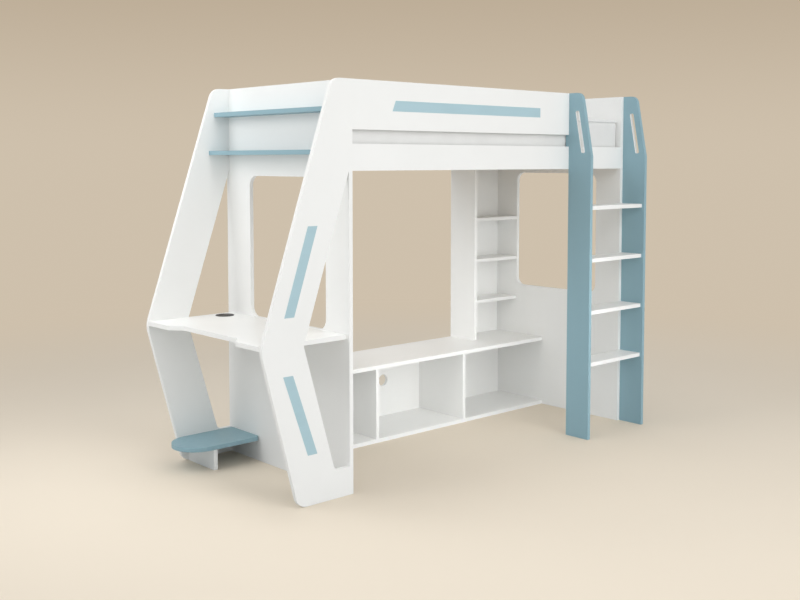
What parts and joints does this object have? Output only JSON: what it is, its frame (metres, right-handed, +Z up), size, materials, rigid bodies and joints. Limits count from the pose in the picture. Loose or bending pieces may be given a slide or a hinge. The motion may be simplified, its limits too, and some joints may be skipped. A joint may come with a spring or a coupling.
{
  "type": "high sleeper bed",
  "caption": "Raised single bed on board panels, with a desk and display shelves at one end, a low open bench and a bookcase below, and a ladder with hand slots.",
  "frame": {"origin": "on the floor, under the middle of the whole object's box", "axes": "+X along the bed from the desk end to the ladder end, +Y from the front to the back, +Z up"},
  "size_m": [2.435, 1.098, 1.808],
  "materials": {
    "white_board": "satin white melamine",
    "blue_board": "satin light blue melamine",
    "blue_film": "matt light blue",
    "grommet_plastic": "dark grey",
    "pine": "planed pine",
    "dowel_wood": "fluted beech",
    "mattress_cover": "white knit",
    "zinc_steel": "zinc plated",
    "cast_zinc": "cast zinc"
  },
  "bodies": {
    "bed_frame": {"left_end_panel": "white_board", "right_end_panel": "white_board", "front_side_frame": "white_board", "rear_side_frame": "white_board", "desk_top": "white_board", "tower_shelf_support": "white_board", "front_guard_rail": "white_board", "front_lower_rail": "white_board", "rear_guard_rail": "white_board", "rear_lower_rail": "white_board", "ladder_step_1": "white_board", "ladder_step_2": "white_board", "ladder_step_3": "white_board", "ladder_step_4": "white_board", "bench_top": "white_board", "bench_bottom": "white_board", "bench_divider_1": "white_board", "bench_divider_2": "white_board", "bench_back_panel": "white_board", "bookcase_side": "white_board", "bookcase_back": "white_board", "bookcase_shelf_1": "white_board", "bookcase_shelf_2": "white_board", "bookcase_shelf_3": "white_board", "upper_display_shelf": "blue_board", "lower_display_shelf": "blue_board", "tower_shelf": "blue_board", "ladder_left_side": "blue_board", "ladder_right_side": "blue_board", "guard_stripe": "blue_film", "upper_arm_stripe": "blue_film", "lower_arm_stripe": "blue_film", "grommet_liner": "grommet_plastic", "front_slat_ledger": "pine", "rear_slat_ledger": "pine", "bed_slats": "pine", "dowels": "dowel_wood", "cam_studs": "zinc_steel", "ladder_bolts": "zinc_steel", "ladder_nuts": "zinc_steel", "ledger_screws": "zinc_steel", "slat_screws": "zinc_steel", "shelf_pins": "zinc_steel", "back_screws": "zinc_steel", "cam_discs": "cast_zinc"},
    "cable_cap": {"grommet_cap": "grommet_plastic"},
    "mattress_body": {"mattress": "mattress_cover"}
  },
  "joints": [
    {"name": "cable_cap_turn", "type": "hinge", "parent": "bed_frame", "child": "cable_cap", "pos_m": [-0.8445, 0.455, 0.703], "axis": [0, 0, 1], "continuous": true},
    {"name": "mattress_lift", "type": "slide", "parent": "bed_frame", "child": "mattress_body", "axis": [0, 0, 1], "range_m": [0, 0.32]}
  ]
}
